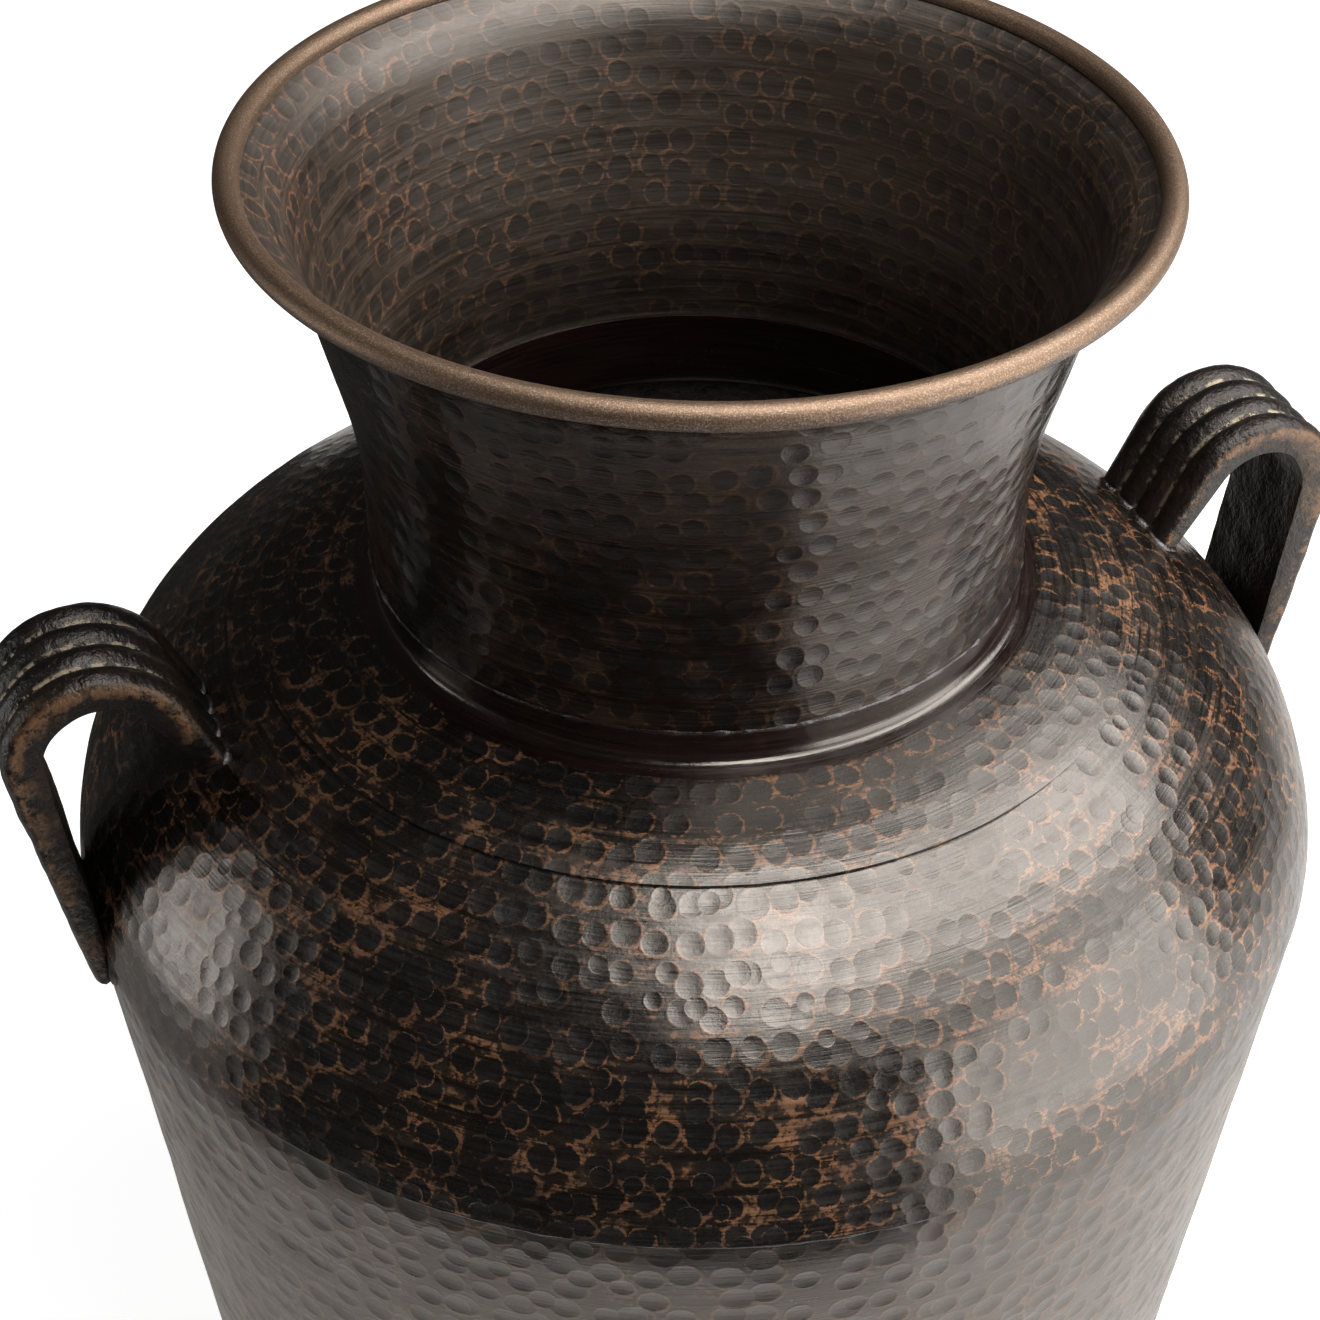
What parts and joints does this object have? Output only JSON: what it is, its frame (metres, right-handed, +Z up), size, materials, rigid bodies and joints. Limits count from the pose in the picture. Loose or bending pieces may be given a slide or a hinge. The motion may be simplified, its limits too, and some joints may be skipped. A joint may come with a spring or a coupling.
{
  "type": "urn vase",
  "caption": "Tall hammered metal urn vase with a flared, rolled rim, a rounded shoulder and ribbed strap handles, open at the mouth to hold stems or branches.",
  "frame": {"origin": "middle of the base, on the surface that the vase stands on", "axes": "+Z up the vase's axis, +X towards handle_right, -X towards handle_left"},
  "size_m": [0.395, 0.361, 0.4573],
  "materials": {
    "hammered_body": "hammered sheet, blackened, with copper showing on the raised edges of the dimples",
    "hammered_neck": "lightly hammered sheet, blackened and brushed round",
    "rim_bronze": "rubbed light bronze, satin",
    "rim_wire": "drawn wire, hidden in the rim",
    "cast_handle": "rough cast, blackened, rubbed bright on the ribs and edges",
    "joint_metal": "weld and braze metal, blackened"
  },
  "bodies": {
    "root": {"lower_body": "hammered_body", "upper_body": "hammered_body", "shoulder_cap": "hammered_body", "neck": "hammered_neck", "rim_bead": "rim_bronze", "rim_wire": "rim_wire", "base_disc": "hammered_body", "base_solder": "joint_metal", "girth_weld": "joint_metal", "neck_braze": "joint_metal", "handle_right": "cast_handle", "handle_left": "cast_handle", "handle_right_upper_weld": "joint_metal", "handle_right_lower_weld": "joint_metal", "handle_left_upper_weld": "joint_metal", "handle_left_lower_weld": "joint_metal"}
  },
  "joints": []
}
